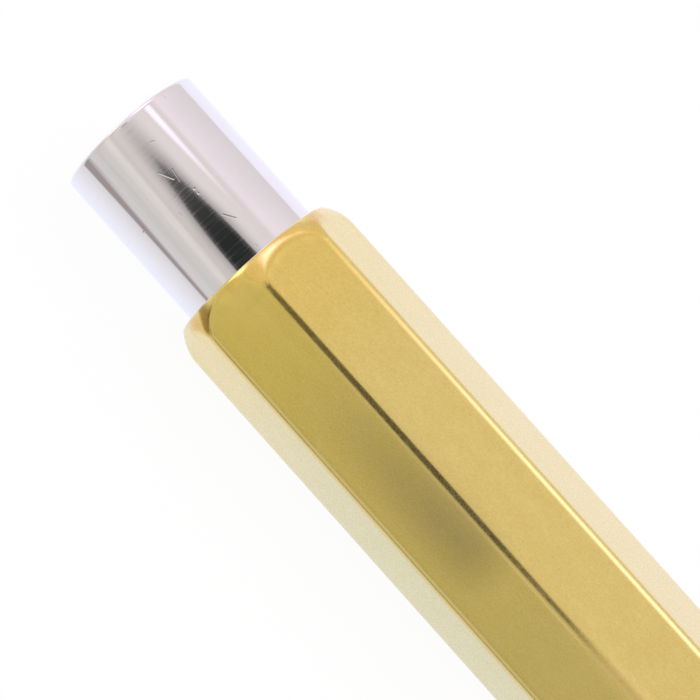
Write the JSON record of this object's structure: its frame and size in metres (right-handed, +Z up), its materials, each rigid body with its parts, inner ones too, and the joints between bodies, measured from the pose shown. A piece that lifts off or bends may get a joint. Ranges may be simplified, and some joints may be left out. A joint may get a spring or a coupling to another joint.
{
  "type": "clutch pencil",
  "caption": "Short octagonal brass clutch pencil for thick leads, with a chromed push button, a sprung three-jaw collet and a sharpener hidden in the button.",
  "frame": {"origin": "under the middle of the pencil's length, on the surface that it lies on, with the lower flat of the barrel on that surface", "axes": "+X along the pencil towards the writing point, +Z up, +Y to the left when looking along the pencil towards its point"},
  "size_m": [0.1122, 0.0116, 0.0116],
  "materials": {
    "barrel_brass": "satin polished raw brass",
    "nose_chrome": "polished chrome plate",
    "button_chrome": "polished chrome plate with fine turning lines",
    "guide_acetal": "turned natural plastic",
    "washer_steel": "stamped steel",
    "spring_steel": "bright spring wire",
    "tube_brass": "drawn brass tube",
    "bush_brass": "turned brass",
    "collar_steel": "turned steel",
    "collet_steel": "turned steel",
    "jaw_steel": "bright turned steel",
    "sharpener_steel": "hardened steel",
    "lead_graphite": "fired graphite and clay"
  },
  "bodies": {
    "barrel": {"barrel": "barrel_brass", "nose_ferrule": "nose_chrome", "guide_bush": "guide_acetal", "spring_washer": "washer_steel", "return_spring": "spring_steel"},
    "plunger": {"lead_tube": "tube_brass", "spring_collar": "collar_steel", "collet_shank": "collet_steel"},
    "jaw_1": {"collet_jaw_1": "jaw_steel"},
    "jaw_2": {"collet_jaw_2": "jaw_steel"},
    "jaw_3": {"collet_jaw_3": "jaw_steel"},
    "lead": {"lead": "lead_graphite"},
    "button": {"button_shell": "button_chrome", "thread_bush": "bush_brass", "sharpener_insert": "sharpener_steel"}
  },
  "joints": [
    {"name": "button_press", "type": "slide", "parent": "barrel", "child": "plunger", "axis": [1, 0, 0], "range_m": [0, 0.004], "stiffness_N_per_m": 430, "springref_m": -0.01, "deforming": ["return_spring"]},
    {"name": "jaw_1_spread", "type": "hinge", "parent": "plunger", "child": "jaw_1", "pos_m": [0.02675, 0, 0.00895], "axis": [0, -1, 0], "range_deg": [0, 1.8]},
    {"name": "jaw_2_spread", "type": "hinge", "parent": "plunger", "child": "jaw_2", "pos_m": [0.02675, -0.00273, 0.00422], "axis": [0, 0.5, -0.866], "range_deg": [0, 1.8]},
    {"name": "jaw_3_spread", "type": "hinge", "parent": "plunger", "child": "jaw_3", "pos_m": [0.02675, 0.00273, 0.00422], "axis": [0, 0.5, 0.866], "range_deg": [0, 1.8]},
    {"name": "lead_feed", "type": "slide", "parent": "plunger", "child": "lead", "axis": [1, 0, 0], "range_m": [-0.007, 0.06]},
    {"name": "button_unscrew", "type": "slide", "parent": "plunger", "child": "button", "axis": [-1, 0, 0], "range_m": [0, 0.015]}
  ],
  "couplings": [
    {"joint": "jaw_1_spread", "follows": "button_press", "rad_per_m": 7.85},
    {"joint": "jaw_2_spread", "follows": "button_press", "rad_per_m": 7.85},
    {"joint": "jaw_3_spread", "follows": "button_press", "rad_per_m": 7.85}
  ]
}
